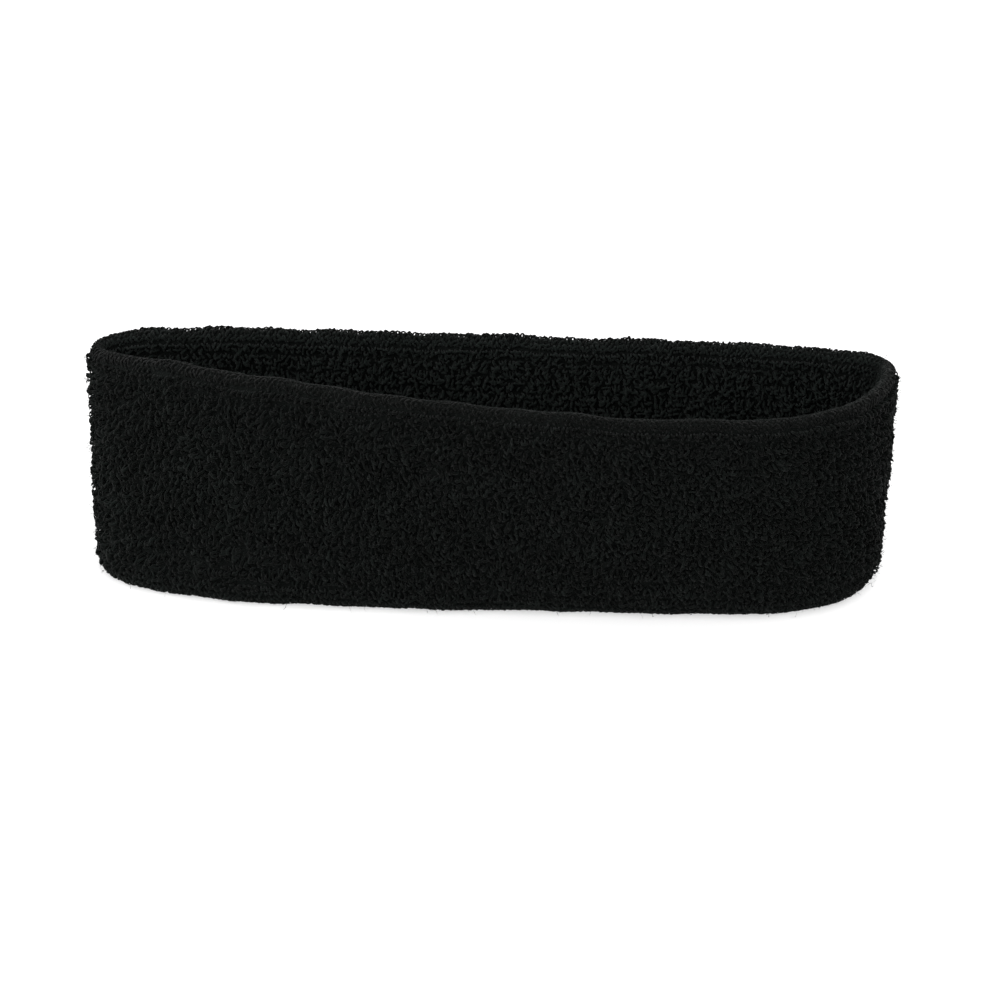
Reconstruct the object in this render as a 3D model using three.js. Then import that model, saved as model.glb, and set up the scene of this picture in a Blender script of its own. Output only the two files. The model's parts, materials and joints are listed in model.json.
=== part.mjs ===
// Sports headband: a knitted terry tube folded double into a loop, closed by one seam on its inside
// and tightened by elastic yarns laid between the two layers. Millimetres, +Z up.
// The band stands on its lower edge with its opening upwards. X runs along the loop, -Y is its front.
import * as THREE from "three";
import { ParametricGeometry } from "three/addons/geometries/ParametricGeometry.js";

// Driving dimensions
const BAND_HEIGHT = 50;
const WALL_THICKNESS = 5.4;
const TERRY_THICKNESS = 2;
const PIECE_GAP = 0.3;
const ELASTIC_COUNT = 12;
const ELASTIC_DIAMETER = 0.8;
const ELASTIC_PITCH = 3.6;
const SEAM_HEIGHT = 11;
const SEAM_WIDTH = 2.8;
const SEAM_DEPTH = 1.7;
const THREAD_DIAMETER = 0.35;
const STEPS_PER_STRETCH = 14;
const YARN_SIDES = 5;

const WALL_HALF = WALL_THICKNESS / 2;
const CORE_HALF = WALL_HALF - TERRY_THICKNESS;

// Plan of the middle of the wall at each edge. The loop has a bend at its right and left ends and runs
// along X at one point of its back wall and one of its front wall. A reach is how far the wall keeps
// that direction, as the length of its curve's handle.
const BOTTOM_PLAN = {
  right: { x: 89.5, y: 14, radius: 6 },
  back: { x: 1.5, y: 17.5, reachRight: 40, reachLeft: 64 },
  left: { x: -86.5, y: -2, radius: 10 },
  front: { x: 46.5, y: -17, reachLeft: 52, reachRight: 47 },
};
const TOP_PLAN = {
  right: { x: 88.5, y: 14.5, radius: 4.5 },
  back: { x: 1.5, y: 20, reachRight: 40, reachLeft: 64 },
  left: { x: -89.5, y: 14.5, radius: 4 },
  front: { x: 40.5, y: -21.5, reachLeft: 53, reachRight: 50 },
};

// Cross-section points are [offset outwards from the middle of the wall, distance in from an edge].
// A terry layer rolls round the edge and stops at the turn rib, which fills the middle of the edge.
const ROLLED_END = [
  [CORE_HALF, 2],
  [1.8, 0.9],
  [2.4, 1.3],
  [WALL_HALF, 2.2],
];
const TURN_RIB = [
  [-1, 0],
  [1, 0],
  [1.45, 0.5],
  [1.2, 1.3],
  [0.6, 1.6],
  [-0.6, 1.6],
  [-1.2, 1.3],
  [-1.45, 0.5],
];

const terry = new THREE.MeshStandardMaterial({ color: 0x141514, roughness: 1, metalness: 0 });
const turnKnit = new THREE.MeshStandardMaterial({ color: 0x1f201f, roughness: 0.95, metalness: 0 });
const elastic = new THREE.MeshStandardMaterial({ color: 0x23211f, roughness: 0.7, metalness: 0 });
const sewingThread = new THREE.MeshStandardMaterial({ color: 0x191a1b, roughness: 0.55, metalness: 0 });

// The handle length that bends the end of a stretch to a radius, when the stretch's other handle ends
// at a distance span along X.
function endReach(radius, span) {
  return Math.sqrt((2 / 3) * radius * Math.abs(span));
}

// The four stretches of one edge, anticlockwise from above: right end, back, left end, front.
function planStretches({ right, back, left, front }) {
  const point = (x, y) => new THREE.Vector2(x, y);
  const backToRight = back.x + back.reachRight;
  const backToLeft = back.x - back.reachLeft;
  const frontToLeft = front.x - front.reachLeft;
  const frontToRight = front.x + front.reachRight;
  const corners = [
    [
      point(right.x, right.y),
      point(right.x, right.y + endReach(right.radius, right.x - backToRight)),
      point(backToRight, back.y),
      point(back.x, back.y),
    ],
    [
      point(back.x, back.y),
      point(backToLeft, back.y),
      point(left.x, left.y + endReach(left.radius, backToLeft - left.x)),
      point(left.x, left.y),
    ],
    [
      point(left.x, left.y),
      point(left.x, left.y - endReach(left.radius, frontToLeft - left.x)),
      point(frontToLeft, front.y),
      point(front.x, front.y),
    ],
    [
      point(front.x, front.y),
      point(frontToRight, front.y),
      point(right.x, right.y - endReach(right.radius, right.x - frontToRight)),
      point(right.x, right.y),
    ],
  ];
  return corners.map((handles) => new THREE.CubicBezierCurve(...handles));
}

const bottomStretches = planStretches(BOTTOM_PLAN);
const topStretches = planStretches(TOP_PLAN);

// A point of the wall: u goes once round the loop, offset is outwards from the wall's middle.
function wallPoint(u, offset, height, target) {
  const along = u * bottomStretches.length;
  const stretch = Math.floor(along) % bottomStretches.length;
  const t = along - Math.floor(along);
  const rise = height / BAND_HEIGHT;
  const middle = bottomStretches[stretch].getPoint(t).lerp(topStretches[stretch].getPoint(t), rise);
  const direction = bottomStretches[stretch].getTangent(t).lerp(topStretches[stretch].getTangent(t), rise);
  direction.normalize();
  return target.set(middle.x + direction.y * offset, middle.y - direction.x * offset, height);
}

// A closed ring that carries a cross-section of [offset, height] points once round the loop.
function ring(name, section, material) {
  const outline = section.map(([offset, height]) => new THREE.Vector2(offset, height));
  if (THREE.ShapeUtils.isClockWise(outline)) outline.reverse();
  const sides = outline.length;
  const surface = (u, v, target) => {
    const side = Math.floor(v * sides);
    const point = outline[side % sides].clone().lerp(outline[(side + 1) % sides], v * sides - side);
    return wallPoint(u, point.x, point.y, target);
  };
  const steps = STEPS_PER_STRETCH * bottomStretches.length;
  const mesh = new THREE.Mesh(new ParametricGeometry(surface, steps, sides), material);
  mesh.name = name;
  return mesh;
}

// A round yarn that runs once round the loop at one height.
function yarnRing(name, diameter, offset, height, material) {
  const circle = new THREE.EllipseCurve(offset, height, diameter / 2, diameter / 2);
  const section = circle.getPoints(YARN_SIDES).slice(0, YARN_SIDES);
  return ring(name, section.map((point) => [point.x, point.y]), material);
}

// Section points of a layer's end: side is +1 for the outer layer and -1 for the inner one.
const rolledAtBottom = (side) => ROLLED_END.map(([offset, inset]) => [side * offset, inset]);
const rolledAtTop = (side) => ROLLED_END.map(([offset, inset]) => [side * offset, BAND_HEIGHT - inset]);
const cutAt = (side, height) => [
  [side * CORE_HALF, height],
  [side * WALL_HALF, height],
];

// One layer of terry between two ends, each listed from its core side to its pile side.
function terryLayer(name, lowEnd, highEnd) {
  return ring(name, [...lowEnd, ...[...highEnd].reverse()], terry);
}

// The knit tube, in the zones that are knitted differently
const knitTube = new THREE.Group();
const seamBottom = SEAM_HEIGHT - SEAM_WIDTH / 2;
const seamTop = SEAM_HEIGHT + SEAM_WIDTH / 2;
knitTube.add(
  terryLayer("outer_terry", rolledAtBottom(1), rolledAtTop(1)),
  terryLayer("inner_terry_upper", cutAt(-1, seamTop + PIECE_GAP), rolledAtTop(-1)),
  terryLayer("inner_terry_lower", rolledAtBottom(-1), cutAt(-1, seamBottom - PIECE_GAP)),
  ring("top_turn_rib", TURN_RIB.map(([offset, inset]) => [offset, BAND_HEIGHT - inset]), turnKnit),
  ring("bottom_turn_rib", TURN_RIB, turnKnit),
);

// The closing seam: the tube's two raw edges laid together, with a three-thread overlock round them
const closingSeam = new THREE.Group();
const seamBack = -CORE_HALF - PIECE_GAP / 3;
const seamFace = seamBack - SEAM_DEPTH;
const seamShoulder = seamFace + SEAM_DEPTH / 3;
const threadOffset = seamFace - PIECE_GAP - THREAD_DIAMETER / 2;
closingSeam.add(
  ring(
    "seam_allowance",
    [
      [seamBack, seamBottom],
      [seamBack, seamTop],
      [seamShoulder, seamTop],
      [seamFace, SEAM_HEIGHT + SEAM_WIDTH / 4],
      [seamFace, SEAM_HEIGHT - SEAM_WIDTH / 4],
      [seamShoulder, seamBottom],
    ],
    turnKnit,
  ),
);
["seam_lower_looper_thread", "seam_needle_thread", "seam_upper_looper_thread"].forEach((name, row) => {
  const height = SEAM_HEIGHT + ((row - 1) * SEAM_WIDTH) / 3;
  closingSeam.add(yarnRing(name, THREAD_DIAMETER, threadOffset, height, sewingThread));
});

// The elastic yarns, evenly spaced up the middle of the wall
const elasticYarns = new THREE.Group();
const lowestElastic = (BAND_HEIGHT - ELASTIC_PITCH * (ELASTIC_COUNT - 1)) / 2;
for (let course = 0; course < ELASTIC_COUNT; course += 1) {
  const name = `elastic_yarn_${String(course + 1).padStart(2, "0")}`;
  elasticYarns.add(yarnRing(name, ELASTIC_DIAMETER, 0, lowestElastic + course * ELASTIC_PITCH, elastic));
}

const headband = new THREE.Group();
headband.add(knitTube, closingSeam, elasticYarns);

export default headband;
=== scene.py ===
import json
import math

import bpy
import numpy as np
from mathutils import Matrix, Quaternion, Vector, noise

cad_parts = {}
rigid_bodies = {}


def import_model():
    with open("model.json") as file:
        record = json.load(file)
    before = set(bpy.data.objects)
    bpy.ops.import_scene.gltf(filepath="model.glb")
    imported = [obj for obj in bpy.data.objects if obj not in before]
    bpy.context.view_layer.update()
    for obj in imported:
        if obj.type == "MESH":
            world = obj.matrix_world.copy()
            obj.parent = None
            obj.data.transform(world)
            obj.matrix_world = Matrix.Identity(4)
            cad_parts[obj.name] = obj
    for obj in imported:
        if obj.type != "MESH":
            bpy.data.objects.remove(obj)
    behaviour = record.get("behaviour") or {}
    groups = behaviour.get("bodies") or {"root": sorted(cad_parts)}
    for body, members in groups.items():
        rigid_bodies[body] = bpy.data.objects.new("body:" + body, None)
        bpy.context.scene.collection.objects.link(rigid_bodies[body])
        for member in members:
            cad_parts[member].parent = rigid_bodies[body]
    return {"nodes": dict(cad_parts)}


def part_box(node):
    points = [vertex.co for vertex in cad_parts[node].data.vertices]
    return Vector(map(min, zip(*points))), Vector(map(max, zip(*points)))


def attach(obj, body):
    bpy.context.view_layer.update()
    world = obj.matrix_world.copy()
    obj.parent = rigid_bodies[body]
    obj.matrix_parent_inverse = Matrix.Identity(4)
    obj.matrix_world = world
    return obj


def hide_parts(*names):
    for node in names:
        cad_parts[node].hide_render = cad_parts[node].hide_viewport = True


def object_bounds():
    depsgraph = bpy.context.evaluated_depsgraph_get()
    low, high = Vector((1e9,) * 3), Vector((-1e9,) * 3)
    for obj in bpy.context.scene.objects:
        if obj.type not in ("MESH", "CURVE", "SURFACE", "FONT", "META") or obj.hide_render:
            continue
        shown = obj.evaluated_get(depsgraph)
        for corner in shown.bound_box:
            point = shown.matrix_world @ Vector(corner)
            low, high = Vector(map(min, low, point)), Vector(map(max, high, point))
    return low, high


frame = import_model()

cad_low, cad_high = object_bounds()
mm = 0.001


# Camera ------------------------------------------------------------------------------------------
# A longish lens half a metre from the band, looking down on its front and held slightly tilted.
camera_aim = Vector((0, 1 * mm, (cad_low.z + cad_high.z) / 2))
camera_distance = 0.4893
camera_rise = math.radians(26.45)
camera_tilt = math.radians(1.81)

bpy.ops.object.camera_add()
camera = bpy.context.object
camera.data.lens = 78.06
camera.data.shift_x = 0.0116
camera.data.shift_y = -0.0282
to_camera = Vector((0, -math.cos(camera_rise), math.sin(camera_rise)))
camera.location = camera_aim + to_camera * camera_distance
level = to_camera.to_track_quat("Z", "Y")
camera.rotation_euler = (level @ Quaternion((0, 0, 1), camera_tilt)).to_euler()
bpy.context.scene.camera = camera


# Table and light ---------------------------------------------------------------------------------
# A white light table that glows a little, under a bright, even, pale sky. A wide window to the left
# gives the light its direction, and a weaker one behind on the right picks out the rim. Both fall
# on the band alone, so the table stays evenly white.
table_size = 8.0

bpy.ops.object.select_all(action="DESELECT")
bpy.ops.mesh.primitive_plane_add(size=table_size)
table = bpy.context.object
table.name = "light_table"

table_white = bpy.data.materials.new("table_white")
table_white.use_nodes = True
shader = table_white.node_tree.nodes["Principled BSDF"]
shader.inputs["Base Color"].default_value = (0.6, 0.6, 0.6, 1)
shader.inputs["Roughness"].default_value = 1.0
shader.inputs["Specular IOR Level"].default_value = 0.0
shader.inputs["Emission Color"].default_value = (1, 1, 1, 1)
shader.inputs["Emission Strength"].default_value = 0.5
table.data.materials.append(table_white)

sky = bpy.data.worlds.new("sky")
sky.use_nodes = True
sky.node_tree.nodes["Background"].inputs["Color"].default_value = (1, 1, 1, 1)
sky.node_tree.nodes["Background"].inputs["Strength"].default_value = 1.6
bpy.context.scene.world = sky

left_out = bpy.data.collections.new("left_out_of_window_light")
left_out.objects.link(table)
left_out.collection_objects[0].light_linking.link_state = "EXCLUDE"


def window(name, place, energy, width):
    """A wide soft light from the direction of place. width is the angle it fills, in degrees."""
    bpy.ops.object.light_add(type="SUN", location=place)
    light = bpy.context.object
    light.name = name
    light.data.energy = energy
    light.data.angle = math.radians(width)
    light.rotation_euler = light.location.to_track_quat("Z", "Y").to_euler()
    light.light_linking.receiver_collection = left_out


window("left_window", (-0.85, -0.45, 0.5), 2.7, 40)
window("back_window", (0.55, 0.75, 0.45), 1.6, 60)

bpy.context.scene.view_settings.view_transform = "Standard"


# Outer layer: ground knit ------------------------------------------------------------------------
# The band is one wide tube of black cotton terry, folded double. Its ground is a thin knit of upright
# ribs, called wales. The outer layer's ground runs from the bottom edge's fold to the top edge's.
band_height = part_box("top_turn_rib")[1].z
wale_count = 320
course = 1.3 * mm
edge_radius = 1.2 * mm
half_turn = edge_radius * math.pi / 2
fold_inset = 1.75 * mm
top_fold = band_height - fold_inset
bottom_fold = fold_inset
ground_thickness = 0.4 * mm
wale_ridge = 0.12 * mm

# The middle of the wall at each edge, seen from above, in millimetres: the right and left ends are
# (x, y, bend radius), and the back and front are (x, y, reach one way, reach the other way).
bottom_plan = {
    "right": (89.5, 14, 6),
    "back": (1.5, 17.5, 40, 64),
    "left": (-86.5, -2, 10),
    "front": (46.5, -17, 52, 47),
}
top_plan = {
    "right": (89.2, 12.5, 3.5),
    "back": (1.5, 20.3, 50, 64),
    "left": (-89.5, 14.5, 2),
    "front": (40.5, -21.5, 53, 48),
}


def edge_curves(right, back, left, front):
    """The four Bezier curves of one edge, anticlockwise from the right end, as their handles."""

    def bend(end, straight_from):
        return math.sqrt(2 / 3 * end[2] * abs(end[0] - straight_from))

    back_right, back_left = back[0] + back[2], back[0] - back[3]
    front_left, front_right = front[0] - front[2], front[0] + front[3]
    curves = [
        [right[:2], (right[0], right[1] + bend(right, back_right)), (back_right, back[1]), back[:2]],
        [back[:2], (back_left, back[1]), (left[0], left[1] + bend(left, back_left)), left[:2]],
        [left[:2], (left[0], left[1] - bend(left, front_left)), (front_left, front[1]), front[:2]],
        [front[:2], (front_right, front[1]), (right[0], right[1] - bend(right, front_right)), right[:2]],
    ]
    return np.array(curves, float) * mm


bottom_curves = edge_curves(**bottom_plan)
top_curves = edge_curves(**top_plan)


def points_of(curves, turn):
    """Points and headings of an edge at turn, which goes from 0 to 1 once round it."""
    curve = np.minimum((turn * 4).astype(int), 3)
    t = (turn * 4 - curve)[:, None]
    a, b, c, d = np.moveaxis(curves[curve], 1, 0)
    point = (1 - t) ** 3 * a + 3 * (1 - t) ** 2 * t * b + 3 * (1 - t) * t**2 * c + t**3 * d
    heading = (1 - t) ** 2 * (b - a) + 2 * (1 - t) * t * (c - b) + t**2 * (d - c)
    return point, heading / np.linalg.norm(heading, axis=1)[:, None]


turn_steps = np.linspace(0, 1, 4001)
halfway_up = (points_of(bottom_curves, turn_steps)[0] + points_of(top_curves, turn_steps)[0]) / 2
step_lengths = np.linalg.norm(np.diff(halfway_up, axis=0), axis=1)
length_steps = np.concatenate([[0], np.cumsum(step_lengths)])
band_length = length_steps[-1]
left_end = np.interp(0.5, turn_steps, length_steps)
wale = band_length / wale_count


def ripple(along, rounds, shift):
    """A smooth wave from -1 to 1 that closes on itself round the band."""
    return np.sin(2 * math.pi * rounds * along / band_length + shift)


# The wall is soft: it sways in and out, and its top edge rises and falls. At the left end the top
# edge sags, fading a long way along the front and a short way along the back.
left_sag = 2.4 * mm
sag_along_front = 22 * mm
sag_along_back = 9 * mm


def round_the_loop(along, out, up):
    """Bends flat knit into the standing loop: along the band, out from the wall's middle, and up."""
    turn = np.interp(along % band_length, length_steps, turn_steps)
    rise = (up / band_height)[:, None]
    low_point, low_heading = points_of(bottom_curves, turn)
    high_point, high_heading = points_of(top_curves, turn)
    point = low_point * (1 - rise) + high_point * rise
    heading = low_heading * (1 - rise) + high_heading * rise
    heading /= np.linalg.norm(heading, axis=1)[:, None]
    sway = 0.22 * ripple(along, 9, 0.4) + 0.16 * ripple(along + up, 17, 2.1)
    sway += 0.1 * ripple(along - 2 * up, 31, 5)
    out = out + sway * mm
    lift = (0.16 * ripple(along, 13, 1.3) + 0.12 * ripple(along, 29, 3.9)) * mm
    from_left_end = along % band_length - left_end
    fade = np.where(from_left_end > 0, sag_along_front, sag_along_back)
    sag = left_sag * np.exp(-((from_left_end / fade) ** 2)) * (up / band_height) ** 3
    up = up + lift * up / band_height - sag
    return np.stack([point[:, 0] + heading[:, 1] * out, point[:, 1] - heading[:, 0] * out, up], axis=1)


pressed = 0.5 * mm


def over_the_edges(up, out):
    """Rolls one layer over the band's edges: up its face, and out of it, to out and up of the wall.
    What would go below the table is pressed flat on it."""
    angle = (np.maximum(up - top_fold, 0) - np.maximum(bottom_fold - up, 0)) / edge_radius
    reach = edge_radius + out
    height = np.clip(up, bottom_fold, top_fold) + reach * np.sin(angle)
    on_table = pressed * np.exp(np.minimum(height / pressed - 1, 0))
    return reach * np.cos(angle), np.where(height < pressed, on_table, height)


def lay_on_band(points, side):
    """Takes points as (along, up, out of the face) to their place. side is 1 outside, -1 inside."""
    out, up = over_the_edges(points[:, 1], points[:, 2])
    return round_the_loop(side * points[:, 0], side * out, up)


def knit_ground(name, low, high, side):
    """One layer's ground, from low to high up its face: a wale is modelled flat and repeated."""
    bpy.ops.object.select_all(action="DESELECT")
    bpy.ops.mesh.primitive_plane_add(size=1, location=(wale / 2, (low + high) / 2, 0))
    ground = bpy.context.object
    ground.name = ground.data.name = name
    ground.scale = (wale, high - low, 1)
    bpy.ops.object.transform_apply(location=True, rotation=True, scale=True)
    bpy.ops.object.mode_set(mode="EDIT")
    bpy.ops.mesh.select_all(action="SELECT")
    bpy.ops.mesh.bisect(plane_co=(wale / 2, 0, 0), plane_no=(1, 0, 0))
    straight = np.arange(bottom_fold, top_fold, 2 * course)
    turns = np.linspace(0, half_turn, 6)
    for line in [*straight, *(bottom_fold - turns), *(top_fold + turns)]:
        bpy.ops.mesh.select_all(action="SELECT")
        bpy.ops.mesh.bisect(plane_co=(0, line, 0), plane_no=(0, 1, 0))
    bpy.ops.mesh.select_all(action="DESELECT")
    bpy.ops.object.mode_set(mode="OBJECT")
    for vertex in ground.data.vertices:
        vertex.select = bool(abs(vertex.co.x - wale / 2) < wale / 8)
    bpy.ops.object.mode_set(mode="EDIT")
    bpy.ops.transform.translate(value=(0, 0, wale_ridge))
    bpy.ops.object.mode_set(mode="OBJECT")
    repeat_round(ground, wale, wale_count, side)
    cloth = ground.modifiers.new("thickness", "SOLIDIFY")
    cloth.thickness = ground_thickness
    bpy.ops.object.modifier_apply(modifier=cloth.name)
    ground.data.shade_smooth()
    return ground


def repeat_round(piece, length, count, side):
    """Repeats a flat piece that is one length long, lays the row on the band and closes it."""
    row = piece.modifiers.new("row", "ARRAY")
    row.count = count
    row.use_relative_offset = False
    row.use_constant_offset = True
    row.constant_offset_displace = (length, 0, 0)
    row.use_merge_vertices = True
    row.merge_threshold = 0.01 * mm
    bpy.ops.object.modifier_apply(modifier=row.name)
    mesh = piece.data
    flat = np.array([vertex.co for vertex in mesh.vertices])
    corners = np.array([loop.vertex_index for loop in mesh.loops])
    knit = mesh.uv_layers.new(name="knit")
    knit.data.foreach_set("uv", (flat[corners, :2] / (wale, course)).ravel())
    mesh.vertices.foreach_set("co", lay_on_band(flat, side).ravel())
    bpy.ops.object.mode_set(mode="EDIT")
    bpy.ops.mesh.select_all(action="SELECT")
    bpy.ops.mesh.remove_doubles(threshold=0.02 * mm)
    bpy.ops.object.mode_set(mode="OBJECT")


def cotton(name, dark, light, specular, sheen, smoothest=0.82, roughest=1.0):
    """Black yarn: a dye that varies a little, hardly any gloss, and a faint sheen from its fibres."""
    material = bpy.data.materials.new(name)
    material.use_nodes = True
    nodes, links = material.node_tree.nodes, material.node_tree.links
    shader = nodes["Principled BSDF"]
    shader.inputs["Specular IOR Level"].default_value = specular
    shader.inputs["Sheen Weight"].default_value = sheen
    shader.inputs["Sheen Roughness"].default_value = 0.45
    place = nodes.new("ShaderNodeTexCoord")
    patches = nodes.new("ShaderNodeTexNoise")
    patches.inputs["Scale"].default_value = 130
    patches.inputs["Detail"].default_value = 4
    fibres = nodes.new("ShaderNodeTexNoise")
    fibres.inputs["Scale"].default_value = 5200
    fibres.inputs["Detail"].default_value = 3
    links.new(place.outputs["Object"], patches.inputs["Vector"])
    links.new(place.outputs["Object"], fibres.inputs["Vector"])
    dye = nodes.new("ShaderNodeValToRGB")
    dye.color_ramp.elements[0].position = 0.3
    dye.color_ramp.elements[0].color = (*dark, 1)
    dye.color_ramp.elements[1].position = 0.75
    dye.color_ramp.elements[1].color = (*light, 1)
    links.new(dye.outputs["Color"], shader.inputs["Base Color"])
    dullness = nodes.new("ShaderNodeMapRange")
    dullness.inputs["To Min"].default_value = smoothest
    dullness.inputs["To Max"].default_value = roughest
    links.new(fibres.outputs["Fac"], dullness.inputs["Value"])
    links.new(dullness.outputs["Result"], shader.inputs["Roughness"])
    return material, patches, fibres, dye


def maths(nodes, links, operation, first, second):
    """One Math node. Its inputs are sockets or numbers."""
    node = nodes.new("ShaderNodeMath")
    node.operation = operation
    for socket, value in zip(node.inputs, (first, second)):
        if isinstance(value, (int, float)):
            socket.default_value = value
        else:
            links.new(value, socket)
    return node.outputs[0]


# The ground's stitches are too fine to model under the pile: each wale is a column of small Vs.
ground_dark, ground_light = (0.0020, 0.0027, 0.0024), (0.0037, 0.0047, 0.0042)
black_ground, patches, fibres, dye = cotton("black_ground_knit", ground_dark, ground_light, 0.05, 0.03)
nodes, links = black_ground.node_tree.nodes, black_ground.node_tree.links
links.new(patches.outputs["Fac"], dye.inputs["Fac"])
knit_map = nodes.new("ShaderNodeUVMap")
knit_map.uv_map = "knit"
split = nodes.new("ShaderNodeSeparateXYZ")
links.new(knit_map.outputs["UV"], split.inputs["Vector"])
half_wale = maths(nodes, links, "PINGPONG", split.outputs["X"], 0.5)
slant = maths(nodes, links, "ADD", split.outputs["Y"], half_wale)
stitches = maths(nodes, links, "SINE", maths(nodes, links, "MULTIPLY", slant, 4 * math.pi), 0)
relief = maths(nodes, links, "ADD", stitches, fibres.outputs["Fac"])
bump = nodes.new("ShaderNodeBump")
bump.inputs["Strength"].default_value = 0.7
bump.inputs["Distance"].default_value = 0.08 * mm
links.new(relief, bump.inputs["Height"])
links.new(bump.outputs["Normal"], nodes["Principled BSDF"].inputs["Normal"])

outer_ground = knit_ground("outer_ground", bottom_fold - half_turn, top_fold + half_turn, 1)
outer_ground.data.materials.append(black_ground)
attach(outer_ground, "root")
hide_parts("outer_terry")


# Inner layer: ground knit ------------------------------------------------------------------------
# The same tube, folded to the inside. It comes down from the top edge and up from the bottom edge,
# and both raw edges run into the closing seam.
seam_low, seam_high = (corner.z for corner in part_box("seam_allowance"))
raw_edge = 0.5 * mm

inner_upper_ground = knit_ground("inner_upper_ground", seam_high - raw_edge, top_fold + half_turn, -1)
inner_lower_ground = knit_ground("inner_lower_ground", bottom_fold - half_turn, seam_low + raw_edge, -1)
for ground, node in ((inner_upper_ground, "inner_terry_upper"), (inner_lower_ground, "inner_terry_lower")):
    ground.data.materials.append(black_ground)
    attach(ground, "root")
    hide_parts(node)


# Terry pile --------------------------------------------------------------------------------------
# Every stitch of the ground throws up a loop of soft cotton yarn, about 2 mm high. The loops curl
# and lean on one another. Near the band's edges they are shorter and keep to their courses.
pile_yarn = 0.52 * mm
pile_height = 1.9 * mm
root_depth = 0.25 * mm
loop_half_width = 0.34 * mm
crown_reach = 0.62 * mm
crown_droop = 0.05 * mm
yarn_sides = 4


def model_loop(crown_turn, lean_along, lean_up):
    """One loop of pile on the bench: it stands along Z, and its crown is turned and leaning."""
    bpy.ops.object.select_all(action="DESELECT")
    bpy.ops.curve.primitive_bezier_curve_add()
    loop = bpy.context.object
    bpy.ops.object.mode_set(mode="EDIT")
    bpy.ops.curve.select_all(action="SELECT")
    bpy.ops.curve.subdivide()
    bpy.ops.object.mode_set(mode="OBJECT")
    first_foot, crown, last_foot = loop.data.splines[0].bezier_points
    for point in (first_foot, crown, last_foot):
        point.handle_left_type = point.handle_right_type = "FREE"
    rise = pile_height - pile_yarn / 2
    along, across = math.cos(crown_turn) * crown_reach, math.sin(crown_turn) * crown_reach
    crown.co = (lean_along, lean_up, rise)
    crown.handle_left = (lean_along - along, lean_up - across, rise - crown_droop)
    crown.handle_right = (lean_along + along, lean_up + across, rise - crown_droop)
    for foot, way in ((first_foot, -1), (last_foot, 1)):
        foot.co = (way * loop_half_width, 0, -root_depth)
        leg_curve = (way * loop_half_width * 1.1, way * across / 2, rise * 0.7)
        foot.handle_left = foot.handle_right = leg_curve
    loop.data.resolution_u = 3
    loop.data.bevel_depth = pile_yarn / 2
    loop.data.bevel_resolution = 0
    bpy.ops.object.convert(target="MESH")
    bpy.ops.object.mode_set(mode="EDIT")
    bpy.ops.mesh.select_all(action="SELECT")
    bpy.ops.mesh.fill_holes(sides=yarn_sides)
    bpy.ops.object.mode_set(mode="OBJECT")
    return off_the_bench(loop)


def off_the_bench(shape):
    """The points and four-cornered faces of a small shape, which is then cleared away."""
    points = np.array([vertex.co for vertex in shape.data.vertices])
    faces = np.array([face.vertices for face in shape.data.polygons])
    bpy.ops.object.delete()
    return points, faces


loop_kinds = [
    model_loop(math.radians(15), 0.1 * mm, 0.25 * mm),
    model_loop(math.radians(55), -0.3 * mm, -0.1 * mm),
    model_loop(math.radians(-40), 0.35 * mm, 0.15 * mm),
    model_loop(math.radians(85), 0, -0.35 * mm),
    model_loop(math.radians(-75), -0.15 * mm, 0.4 * mm),
]
loop_shapes = np.array([points for points, faces in loop_kinds])
loop_faces = loop_kinds[0][1]


def yarn_corners(faces):
    """Where each corner of a yarn's faces lies: round the yarn, and along it from 0 to 1."""
    ring, spot = faces // yarn_sides, (faces % yarn_sides).astype(float)
    along_yarn = ring.min(axis=1) < ring.max(axis=1)
    wraps = along_yarn & (spot.max(axis=1) == yarn_sides - 1) & (spot.min(axis=1) == 0)
    spot[wraps] = np.where(spot[wraps] == 0, yarn_sides, spot[wraps])
    return np.stack([spot / yarn_sides, ring / faces.max() * yarn_sides], axis=2)


face_share = 0.9
tile_share = 0.96


def copied_piece(name, points, faces, tint_and_painted_light, material):
    """One piece from many copies of a small shape. points is (copies, corners, 3), in place, and
    tint is (copies, corners): the yarn's random tone with painted light and shade in it. Each copy
    has its own tile of the map OFBake, a little apart."""
    copies, size = points.shape[:2]
    mesh = bpy.data.meshes.new(name)
    all_faces = faces[None] + size * np.arange(copies)[:, None, None]
    mesh.from_pydata(points.reshape(-1, 3), [], all_faces.reshape(-1, 4))
    mesh.shade_smooth()
    cells = math.ceil(math.sqrt(len(faces)))
    cell = np.arange(len(faces))
    square = np.array([(0, 0), (1, 0), (1, 1), (0, 1)]) * face_share + (1 - face_share) / 2
    in_tile = (np.stack([cell % cells, cell // cells], axis=1)[:, None] + square) / cells
    tiles = math.ceil(math.sqrt(copies))
    tile = np.stack([np.arange(copies) % tiles, np.arange(copies) // tiles], axis=1)
    baked = (tile[:, None, None] + in_tile[None] * tile_share + (1 - tile_share) / 2) / tiles
    mesh.uv_layers.new(name="OFBake").data.foreach_set("uv", baked.ravel())
    yarn = np.broadcast_to(yarn_corners(faces), (copies, len(faces), 4, 2))
    mesh.uv_layers.new(name="yarn").data.foreach_set("uv", yarn.ravel())
    tint_and_painted_light_layer = mesh.attributes.new("yarn_tint_and_painted_light", "FLOAT", "POINT")
    tint_and_painted_light_layer.data.foreach_set("value", np.ravel(tint_and_painted_light))
    mesh.materials.append(material)
    piece = bpy.data.objects.new(name, mesh)
    bpy.context.scene.collection.objects.link(piece)
    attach(piece, "root")
    return piece


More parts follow.
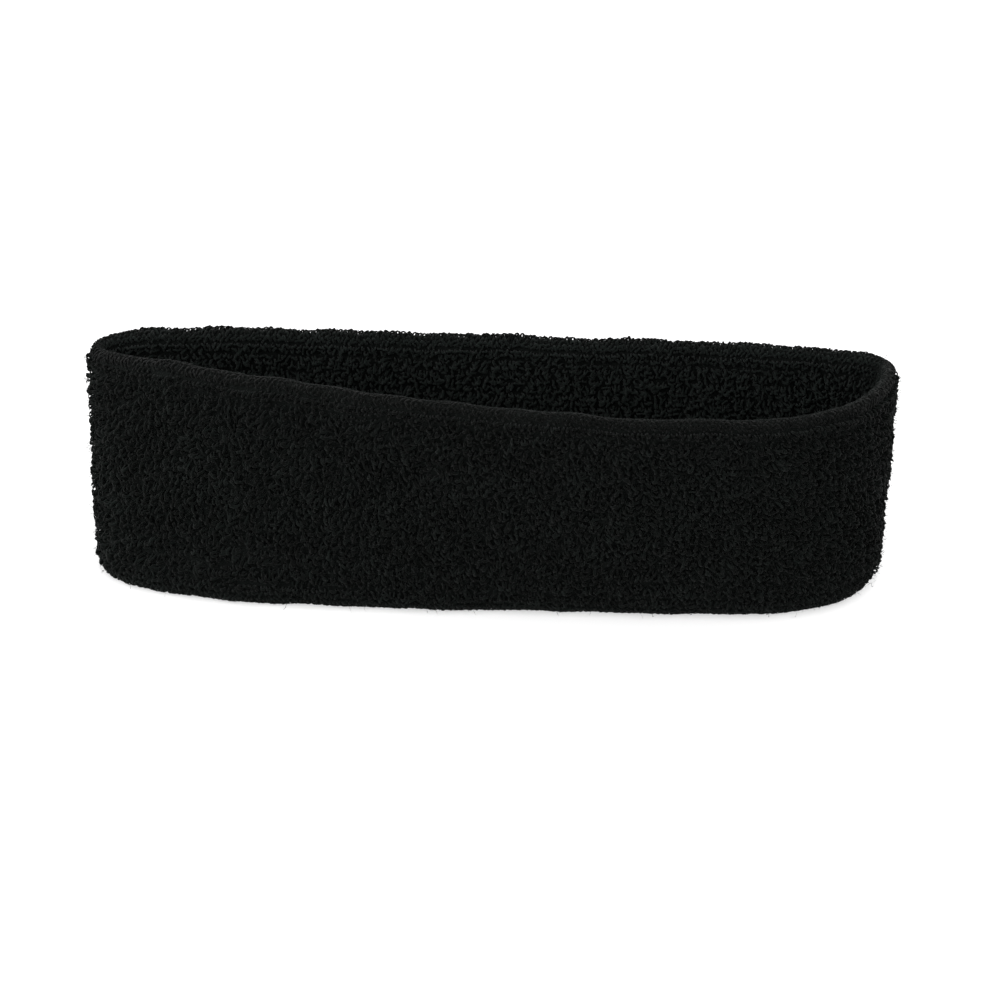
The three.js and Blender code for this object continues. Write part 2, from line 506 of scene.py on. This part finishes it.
yarn_dark, yarn_light = (0.0006, 0.0010, 0.0007), (0.0045, 0.0064, 0.0056)
black_yarn, patches, fibres, dye = cotton("black_cotton_yarn", yarn_dark, yarn_light, 0.05, 0.03)
nodes, links = black_yarn.node_tree.nodes, black_yarn.node_tree.links
# The yarn's tint attribute holds random tone together with painted light, shade and highlight.
tint_and_painted_light = nodes.new("ShaderNodeAttribute")
tint_and_painted_light.attribute_name = "yarn_tint_and_painted_light"
shade = maths(nodes, links, "MULTIPLY_ADD", patches.outputs["Fac"], 0.5)
links.new(tint_and_painted_light.outputs["Fac"], shade.node.inputs[2])
links.new(maths(nodes, links, "SUBTRACT", shade, 0.25), dye.inputs["Fac"])
yarn_map = nodes.new("ShaderNodeUVMap")
yarn_map.uv_map = "yarn"
split = nodes.new("ShaderNodeSeparateXYZ")
links.new(yarn_map.outputs["UV"], split.inputs["Vector"])
twist = maths(nodes, links, "MULTIPLY_ADD", split.outputs["Y"], 11)
links.new(split.outputs["X"], twist.node.inputs[2])
plies = maths(nodes, links, "SINE", maths(nodes, links, "MULTIPLY", twist, 4 * math.pi), 0)
relief = maths(nodes, links, "MULTIPLY_ADD", fibres.outputs["Fac"], 2.0)
links.new(plies, relief.node.inputs[2])
bump = nodes.new("ShaderNodeBump")
bump.inputs["Strength"].default_value = 0.6
bump.inputs["Distance"].default_value = 0.05 * mm
links.new(relief, bump.inputs["Height"])
links.new(bump.outputs["Normal"], nodes["Principled BSDF"].inputs["Normal"])


# The courses with an elastic yarn behind them are drawn in, which shows as faint ribs in the pile.
elastic_nodes = sorted(node for node in frame["nodes"] if node.startswith("elastic_yarn"))
elastic_courses = [sum(corner.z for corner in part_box(node)) / 2 for node in elastic_nodes]
elastic_pitch = elastic_courses[1] - elastic_courses[0]
rib_reach = 8 * mm
rib_depth = 0.6
rib_gather = 0.4 * mm

# Loops stand in clumps and drifts, whose sizes are in millimetres. Their layers keep the two apart.
clump_size, clump_layer = 2.6, 9.7
drift_size, drift_layer = 4.2, 50.3

# How far in from the turns, or from the bends at the two ends, the pile changes.
tidy_margin = 1.6 * mm
loose_after = 5 * mm
short_margin = 0.6 * mm
full_after = 3 * mm
bend_reach = 8 * mm
# Under the top edge the pile has painted shade, and above the bottom edge painted light; they fade over these
# two distances.
painted_shade_below_crest = 1.8 * mm
painted_light_above_foot = 3.5 * mm

# How much it changes. Turns are in radians, and shades go from 0, the darkest, to 1. The rest are shares.
least_loose = 0.12
edge_height, taller_at_back = 0.44, 0.26
clump_height, clumpier_outside = 0.22, 0.06
fullness, fuller_outside = 0.95, 0.05
flattened_at_bend = 0.25
turned_by_drift, leaning_by_drift = 2.6, 0.5
hang = -0.12
# The inside's pile is painted paler than the outside's: painted light for the light it lacks.
pile_shade, painted_paler_inside, clump_shade = 0.52, 0.26, 0.15
# Painted shade under the top edge, painted light above the bottom edge, and painted light at every loop's
# root.
crest_painted_shade, foot_painted_light, root_painted_light = 0.5, 0.22, 0.7

# How far single loops stray from that: their roots by a distance, and the rest in the same measures.
root_stray = 0.14 * mm
height_spread, width_spread = 0.09, 0.1
turn_spread, along_spread, up_spread = 0.55, 0.3, 0.25
shade_spread = 0.07


def pile_courses(name, rises, side, seed):
    """Courses of pile on one face of the band, one loop to each wale."""
    chance = np.random.default_rng(seed)
    count = len(rises) * wale_count
    row, column = np.divmod(np.arange(count), wale_count)
    root_up = np.asarray(rises)[row]
    root_along = (column + row % 2 / 2) * wale

    # Loops stand alike in small clumps, and are turned alike over slightly larger ones.
    spots = np.stack([root_along, root_up], axis=1) / mm
    clump = np.array([noise.noise(Vector((*(spot / clump_size), clump_layer * side))) for spot in spots])
    drift = np.array([noise.noise(Vector((*(spot / drift_size), drift_layer * side))) for spot in spots])

    # The pile is tidy and short at the turns, shortest along the front, and full a little way in.
    edge_gap = np.minimum(top_fold + half_turn - root_up, root_up - bottom_fold + half_turn)
    loose = np.clip((edge_gap - tidy_margin) / loose_after, least_loose, 1)
    round_band = side * root_along % band_length
    from_right = np.interp(round_band, length_steps, turn_steps)
    at_edge = edge_height + taller_at_back * np.sin(2 * math.pi * from_right)
    tall = at_edge + (1 - at_edge) * np.clip((edge_gap - short_margin) / full_after, 0, 1)
    tall *= 1 + (clump_height + clumpier_outside * side) * clump + chance.normal(0, height_spread, count)

    # It lies flatter on the inside, and where the band bends at its two ends.
    from_bend = np.minimum(np.minimum(round_band, band_length - round_band), abs(round_band - left_end))
    flattened = flattened_at_bend * np.exp(-((from_bend / bend_reach) ** 2))
    tall *= fullness + fuller_outside * side - flattened

    # The elastics' ribs show most near the edges.
    drawn_in = 2 * math.pi * (root_up - elastic_courses[0]) / elastic_pitch
    near_edge = np.exp(-edge_gap / rib_reach)
    tall *= 1 - rib_depth * near_edge * (0.5 + 0.5 * np.cos(drawn_in))
    root_up = root_up + rib_gather * near_edge * np.sin(drawn_in)

    # Each loop is also wider or narrower, turned, leaning and out of line in its own way.
    wide = 1 + chance.normal(0, width_spread, count)
    turn = (turned_by_drift * drift + chance.normal(0, turn_spread, count)) * loose
    lean_along = (leaning_by_drift * drift + chance.normal(0, along_spread, count)) * loose
    lean_up = chance.normal(hang, up_spread, count) * loose
    root_along = root_along + chance.normal(0, root_stray, count) * loose
    root_up = root_up + chance.normal(0, root_stray, count) * loose
    x, y, z = np.moveaxis(loop_shapes[chance.integers(0, len(loop_shapes), count)], 2, 0)
    bow = np.clip(z / pile_height, 0, 1) ** 1.5 * pile_height
    turn, wide, tall = turn[:, None], wide[:, None], tall[:, None]
    along = (x * np.cos(turn) - y * np.sin(turn)) * wide + lean_along[:, None] * bow + root_along[:, None]
    up = (x * np.sin(turn) + y * np.cos(turn)) * wide + lean_up[:, None] * bow + root_up[:, None]
    out = np.where(z > 0, z * tall, z)
    placed = lay_on_band(np.stack([along, up, out], axis=2).reshape(-1, 3), side)

    # The inside is painted paler, painted light for the light that reaches it less. The pile has painted
    # shade under the top edge and painted light by the bottom edge, where light bounces up from the table,
    # and every loop has painted light at its root, which lifts the shade deep in the pile.
    shade = pile_shade - painted_paler_inside * side + clump_shade * clump + chance.normal(0, shade_spread, count)
    shade -= crest_painted_shade * np.exp(-(top_fold + half_turn - root_up) / painted_shade_below_crest)
    shade += foot_painted_light * np.exp(-(root_up - bottom_fold + half_turn) / painted_light_above_foot)
    painted_root_light = root_painted_light * (1 - np.clip(z / pile_height, 0, 1))
    shades = np.clip(shade[:, None] + painted_root_light, 0, 1)
    return copied_piece(name, placed.reshape(count, -1, 3), loop_faces, shades, black_yarn)


first_course = bottom_fold - half_turn + 0.7 * mm
last_course = top_fold + half_turn - 0.65 * mm
crowded = np.array([0.5 * mm, 1.0 * mm])


def pile_pieces(name, low, high, side, parts, seed):
    """The pile between two heights, in parts of a few courses each. It is crowded at the turns."""
    courses = np.linspace(low, high, round((high - low) / course) + 1)
    if high == last_course:
        courses = np.concatenate([courses, high - crowded])
    if low == first_course:
        courses = np.concatenate([low + crowded, courses])
    courses.sort()
    return [
        pile_courses(f"{name}_{part + 1}", rises, side, seed + part)
        for part, rises in enumerate(np.array_split(courses, parts))
    ]


outer_pile = pile_pieces("outer_pile", first_course, last_course, 1, 5, 100)
inner_upper_pile = pile_pieces("inner_upper_pile", seam_high + course / 2, last_course, -1, 4, 200)
inner_lower_pile = pile_pieces("inner_lower_pile", first_course, seam_low - course / 2, -1, 1, 300)


# Turned edges ------------------------------------------------------------------------------------
# Where the tube folds over at the band's top and bottom edges it is knitted plain, with no loops:
# rows of small flat stitches that catch the light as a thin smooth line along the rim. They are
# tinted paler than the pile's crowns, a painted highlight on that line.
stitch_count = 480
stitch_width = band_length / stitch_count
stitch_rows = 2
stitch_rise = 0.34 * mm
stitch_yarn = 0.32 * mm
leg_overlap = 1.25
leg_slant = math.radians(24)
leg_taper = 0.5
leg_lift = 0.7 * stitch_yarn
# The stitches' tint is paler than the pile's crowns: a painted highlight.
stitch_painted_highlight = 0.6
stitch_size_spread, stitch_shade_spread = 0.06, 0.1


def model_stitch_leg(slant):
    """Half of one plain stitch: a short leaf of yarn, thick in the middle, slanting along the row."""
    bpy.ops.object.select_all(action="DESELECT")
    bpy.ops.mesh.primitive_cylinder_add(
        vertices=yarn_sides,
        radius=stitch_yarn / 2,
        depth=stitch_rise * leg_overlap,
        rotation=(math.radians(90), 0, 0),
    )
    leg = bpy.context.object
    bpy.ops.object.transform_apply(location=True, rotation=True, scale=True)
    bpy.ops.object.mode_set(mode="EDIT")
    bpy.ops.mesh.bisect(plane_co=(0, 0, 0), plane_no=(0, 1, 0))
    bpy.ops.mesh.select_all(action="DESELECT")
    bpy.ops.object.mode_set(mode="OBJECT")
    for vertex in leg.data.vertices:
        vertex.select = abs(vertex.co.y) > stitch_rise / 2
    bpy.ops.object.mode_set(mode="EDIT")
    bpy.ops.transform.resize(value=(leg_taper, 1, leg_taper), center_override=(0, 0, 0))
    bpy.ops.mesh.select_all(action="SELECT")
    bpy.ops.transform.rotate(value=slant, orient_axis="Z", center_override=(0, 0, 0))
    bpy.ops.transform.translate(value=(math.copysign(stitch_width / 4, slant), 0, leg_lift))
    bpy.ops.object.mode_set(mode="OBJECT")
    return off_the_bench(leg)


left_leg, leg_faces = model_stitch_leg(-leg_slant)
right_leg, leg_faces = model_stitch_leg(leg_slant)


def turned_edge(name, middle, node, seed):
    """Rows of plain stitches over one edge of the band, with middle at its crest."""
    chance = np.random.default_rng(seed)
    count = stitch_rows * stitch_count * 2
    row, place = np.divmod(np.arange(count), stitch_count * 2)
    column, leg = np.divmod(place, 2)
    points = np.array([left_leg, right_leg])[leg]
    points = points * (1 + chance.normal(0, stitch_size_spread, count))[:, None, None]
    points[:, :, 0] += ((column + 0.5) * stitch_width)[:, None]
    points[:, :, 1] += (middle + (row - (stitch_rows - 1) / 2) * stitch_rise)[:, None]
    placed = lay_on_band(points.reshape(-1, 3), 1).reshape(points.shape)
    # Each stitch's tint is the painted highlight, varied a little.
    shade = np.clip(stitch_painted_highlight + chance.normal(0, stitch_shade_spread, count), 0, 1)
    shades = np.repeat(shade, points.shape[1])
    edge = copied_piece(name, placed, leg_faces, shades, black_yarn)
    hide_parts(node)
    return edge


top_turn = turned_edge("top_turn_stitches", top_fold + half_turn, "top_turn_rib", 401)
bottom_turn = turned_edge("bottom_turn_stitches", bottom_fold - half_turn, "bottom_turn_rib", 402)


# Closing seam ------------------------------------------------------------------------------------
# The tube's two raw edges are laid together on the inside, where they make a soft ridge. It is
# overlocked with three threads: a straight needle thread, and a looper thread to each side of it.
# Each stitch draws the ridge in a little at its two ends.
seam_stitch_count = 160
seam_stitch = band_length / seam_stitch_count
seam_middle = (seam_low + seam_high) / 2
seam_depth = 1.7 * mm
seam_foot = -ground_thickness
seam_face = seam_foot + seam_depth
seam_round = 0.6 * mm
drawn_width, drawn_depth = 0.88, 0.84

bpy.ops.object.select_all(action="DESELECT")
bpy.ops.mesh.primitive_cube_add(size=1, location=(seam_stitch / 2, seam_middle, seam_foot + seam_depth / 2))
seam_ridge = bpy.context.object
seam_ridge.name = seam_ridge.data.name = "seam_ridge"
seam_ridge.scale = (seam_stitch, seam_high - seam_low, seam_depth)
bpy.ops.object.transform_apply(location=True, rotation=True, scale=True)
bpy.ops.object.mode_set(mode="EDIT")
bpy.ops.mesh.select_mode(type="FACE")
bpy.ops.mesh.select_all(action="DESELECT")
bpy.ops.object.mode_set(mode="OBJECT")
for face in seam_ridge.data.polygons:
    face.select = abs(face.normal.x) > 0.5
bpy.ops.object.mode_set(mode="EDIT")
bpy.ops.mesh.delete(type="ONLY_FACE")
bpy.ops.mesh.select_mode(type="EDGE")
bpy.ops.mesh.select_all(action="DESELECT")
bpy.ops.object.mode_set(mode="OBJECT")
for edge in seam_ridge.data.edges:
    start, end = (seam_ridge.data.vertices[corner].co for corner in edge.vertices)
    edge.select = min(start.z, end.z) > 0 and abs(start.y - end.y) < seam_round
bpy.ops.object.mode_set(mode="EDIT")
bpy.ops.mesh.bevel(offset=seam_round, segments=3)
bpy.ops.mesh.select_mode(type="VERT")
for share in (0.25, 0.5, 0.75):
    bpy.ops.mesh.select_all(action="SELECT")
    bpy.ops.mesh.bisect(plane_co=(seam_stitch * share, 0, 0), plane_no=(1, 0, 0))
bpy.ops.mesh.select_all(action="DESELECT")
bpy.ops.object.mode_set(mode="OBJECT")
for vertex in seam_ridge.data.vertices:
    vertex.select = bool(abs(vertex.co.x - seam_stitch / 2) > seam_stitch * 0.4)
bpy.ops.object.mode_set(mode="EDIT")
bpy.ops.transform.resize(
    value=(1, drawn_width, drawn_depth), center_override=(0, seam_middle, seam_foot)
)
bpy.ops.object.mode_set(mode="OBJECT")
repeat_round(seam_ridge, seam_stitch, seam_stitch_count, -1)
seam_ridge.data.shade_smooth()
seam_ridge.data.materials.append(black_ground)
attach(seam_ridge, "root")
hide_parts("seam_allowance")


def twisted(name, dark, light, specular, smoothest, twists):
    """A black thread or covered yarn, with its strands twisted round it."""
    material, patches, fibres, dye = cotton(name, dark, light, specular, 0.02, smoothest, smoothest + 0.2)
    nodes, links = material.node_tree.nodes, material.node_tree.links
    links.new(patches.outputs["Fac"], dye.inputs["Fac"])
    laid_flat = nodes.new("ShaderNodeUVMap")
    laid_flat.uv_map = "knit"
    split = nodes.new("ShaderNodeSeparateXYZ")
    links.new(laid_flat.outputs["UV"], split.inputs["Vector"])
    slant = maths(nodes, links, "MULTIPLY_ADD", split.outputs["X"], twists)
    links.new(maths(nodes, links, "MULTIPLY", split.outputs["Y"], 3), slant.node.inputs[2])
    strands = maths(nodes, links, "SINE", maths(nodes, links, "MULTIPLY", slant, 2 * math.pi), 0)
    bump = nodes.new("ShaderNodeBump")
    bump.inputs["Strength"].default_value = 0.6
    bump.inputs["Distance"].default_value = 0.04 * mm
    links.new(maths(nodes, links, "ADD", strands, fibres.outputs["Fac"]), bump.inputs["Height"])
    links.new(bump.outputs["Normal"], nodes["Principled BSDF"].inputs["Normal"])
    return material


thread_width = 0.35 * mm
thread_dark, thread_light = (0.005, 0.0052, 0.0056), (0.009, 0.0093, 0.0098)
black_thread = twisted("black_sewing_thread", thread_dark, thread_light, 0.3, 0.45, 4)


def seam_thread(name, ends, middle):
    """One thread of the seam. ends and middle are (up, out) where a stitch begins and halfway along."""
    bpy.ops.object.select_all(action="DESELECT")
    bpy.ops.curve.primitive_bezier_curve_add()
    thread = bpy.context.object
    thread.name = name
    bpy.ops.object.mode_set(mode="EDIT")
    bpy.ops.curve.select_all(action="SELECT")
    bpy.ops.curve.subdivide()
    bpy.ops.object.mode_set(mode="OBJECT")
    reach = Vector((seam_stitch / 6, 0, 0))
    for step, point in enumerate(thread.data.splines[0].bezier_points):
        point.handle_left_type = point.handle_right_type = "FREE"
        point.co = (step * seam_stitch / 2, *(middle if step == 1 else ends))
        point.handle_left = point.co - reach
        point.handle_right = point.co + reach
    thread.data.resolution_u = 4
    thread.data.bevel_depth = thread_width / 2
    thread.data.bevel_resolution = 1
    bpy.ops.object.convert(target="MESH")
    thread = bpy.context.object
    thread.data.name = name
    repeat_round(thread, seam_stitch, seam_stitch_count, -1)
    thread.data.shade_smooth()
    thread.data.materials.append(black_thread)
    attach(thread, "root")
    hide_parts(f"seam_{name}")
    return thread


# The needle thread dips into the ridge between its stitches. Each looper thread goes from beside the
# needle thread out over the ridge's shoulder and back.
over = seam_face + thread_width / 2
needle_dip = 0.4 * mm
from_needle = 0.12 * mm + thread_width
looper_lie = over - 0.1 * mm
shoulder = over - 0.75 * mm
needle_thread = seam_thread("needle_thread", (seam_middle, over - needle_dip), (seam_middle, over))
upper_looper_thread = seam_thread(
    "upper_looper_thread", (seam_middle + from_needle, looper_lie), (seam_high, shoulder)
)
lower_looper_thread = seam_thread(
    "lower_looper_thread", (seam_middle - from_needle, looper_lie), (seam_low, shoulder)
)


# Elastic yarns -----------------------------------------------------------------------------------
# Rubber thread covered with black cotton is laid into the knit in level courses, between the two
# layers. It draws the band in and gives it its grip. The turns of its cover show as small beads.
elastic_width = 0.8 * mm
wrap_count = 320
wrap = band_length / wrap_count
wrap_waist = 0.84

bpy.ops.object.select_all(action="DESELECT")
for elastic_course in elastic_courses:
    bpy.ops.mesh.primitive_cylinder_add(
        vertices=6,
        radius=elastic_width / 2,
        depth=wrap,
        end_fill_type="NOTHING",
        location=(wrap / 2, elastic_course, -edge_radius),
        rotation=(0, math.radians(90), 0),
    )
    bpy.ops.object.transform_apply(location=True, rotation=True, scale=True)
    bpy.ops.object.mode_set(mode="EDIT")
    bpy.ops.mesh.select_all(action="SELECT")
    bpy.ops.mesh.bisect(plane_co=(wrap / 2, 0, 0), plane_no=(1, 0, 0))
    bpy.ops.mesh.select_all(action="DESELECT")
    bpy.ops.object.mode_set(mode="OBJECT")
    turn_of_cover = bpy.context.object
    for vertex in turn_of_cover.data.vertices:
        vertex.select = bool(abs(vertex.co.x - wrap / 2) > wrap / 4)
    bpy.ops.object.mode_set(mode="EDIT")
    bpy.ops.transform.resize(
        value=(1, wrap_waist, wrap_waist), center_override=(0, elastic_course, -edge_radius)
    )
    bpy.ops.object.mode_set(mode="OBJECT")
    turn_of_cover.name = "elastic_yarns"
for piece in bpy.context.scene.objects:
    piece.select_set(piece.name.startswith("elastic_yarns"))
bpy.ops.object.join()
elastic_yarns = bpy.context.object
elastic_yarns.name = elastic_yarns.data.name = "elastic_yarns"
repeat_round(elastic_yarns, wrap, wrap_count, 1)
elastic_yarns.data.shade_smooth()
cover_dark, cover_light = (0.006, 0.0055, 0.005), (0.011, 0.0102, 0.0095)
elastic_yarns.data.materials.append(
    twisted("black_covered_elastic", cover_dark, cover_light, 0.2, 0.6, 6)
)
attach(elastic_yarns, "root")
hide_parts(*elastic_nodes)


# Loose fibres ------------------------------------------------------------------------------------
# Spun cotton is hairy. Fine fibre ends stand out from the loops all over the pile, which softens
# the band's outline and makes it paler where the light comes past it. The fibres are tinted near
# the pale end of the dye, painted light for the light that shines through them.
fibre_length = 1.5 * mm
fibre_width = 0.07 * mm
fibre_tip = 0.35
fibre_lean = 0.6
# The fibres' tints are near the pale end of the dye: painted light.
fibre_roots, fibre_lengths, fibre_painted_light = (0.5, 0.85), (0.5, 1.2), (0.7, 1)

bpy.ops.object.select_all(action="DESELECT")
bpy.ops.mesh.primitive_cylinder_add(
    vertices=yarn_sides, radius=fibre_width / 2, depth=fibre_length, location=(0, 0, fibre_length / 2)
)
fibre = bpy.context.object
bpy.ops.object.transform_apply(location=True, rotation=True, scale=True)
bpy.ops.object.mode_set(mode="EDIT")
bpy.ops.mesh.select_all(action="SELECT")
bpy.ops.mesh.bisect(plane_co=(0, 0, fibre_length / 2), plane_no=(0, 0, 1))
bpy.ops.mesh.select_all(action="DESELECT")
bpy.ops.object.mode_set(mode="OBJECT")
for vertex in fibre.data.vertices:
    vertex.select = vertex.co.z > fibre_length * 0.75
bpy.ops.object.mode_set(mode="EDIT")
bpy.ops.transform.resize(value=(fibre_tip, fibre_tip, 1), center_override=(0, 0, fibre_length))
bpy.ops.transform.translate(value=(fibre_length / 3, 0, -fibre_length / 8))
bpy.ops.object.mode_set(mode="OBJECT")
fibre_shape, fibre_faces = off_the_bench(fibre)


def loose_fibres(name, count, low, high, side, seed):
    """Fibres scattered over one face of the band, each leaning and curling its own way."""
    chance = np.random.default_rng(seed)
    along = chance.uniform(0, band_length, count)[:, None]
    up = chance.uniform(low, high, count)[:, None]
    curl = chance.uniform(0, 2 * math.pi, count)[:, None]
    way = chance.uniform(0, 2 * math.pi, count)[:, None]
    lean = chance.normal(0, fibre_lean, count)[:, None]
    root = chance.uniform(*fibre_roots, count)[:, None] * pile_height
    x, y, z = fibre_shape.T
    reach = z * chance.uniform(*fibre_lengths, count)[:, None]
    along = along + x * np.cos(curl) - y * np.sin(curl) + reach * np.sin(lean) * np.cos(way)
    up = up + x * np.sin(curl) + y * np.cos(curl) + reach * np.sin(lean) * np.sin(way)
    out = root + reach * np.cos(lean)
    placed = lay_on_band(np.stack([along, up, out], axis=2).reshape(-1, 3), side)
    # Each fibre gets a pale tint, painted light.
    shades = np.repeat(chance.uniform(*fibre_painted_light, count), len(z))
    return copied_piece(name, placed.reshape(count, -1, 3), fibre_faces, shades, black_yarn)


edge_margin = 1.5 * mm
outer_fibres = loose_fibres("outer_fibres", 8000, edge_margin, band_height - edge_margin, 1, 501)
inner_fibres = loose_fibres("inner_fibres", 3500, seam_high + edge_margin, band_height - edge_margin, -1, 502)
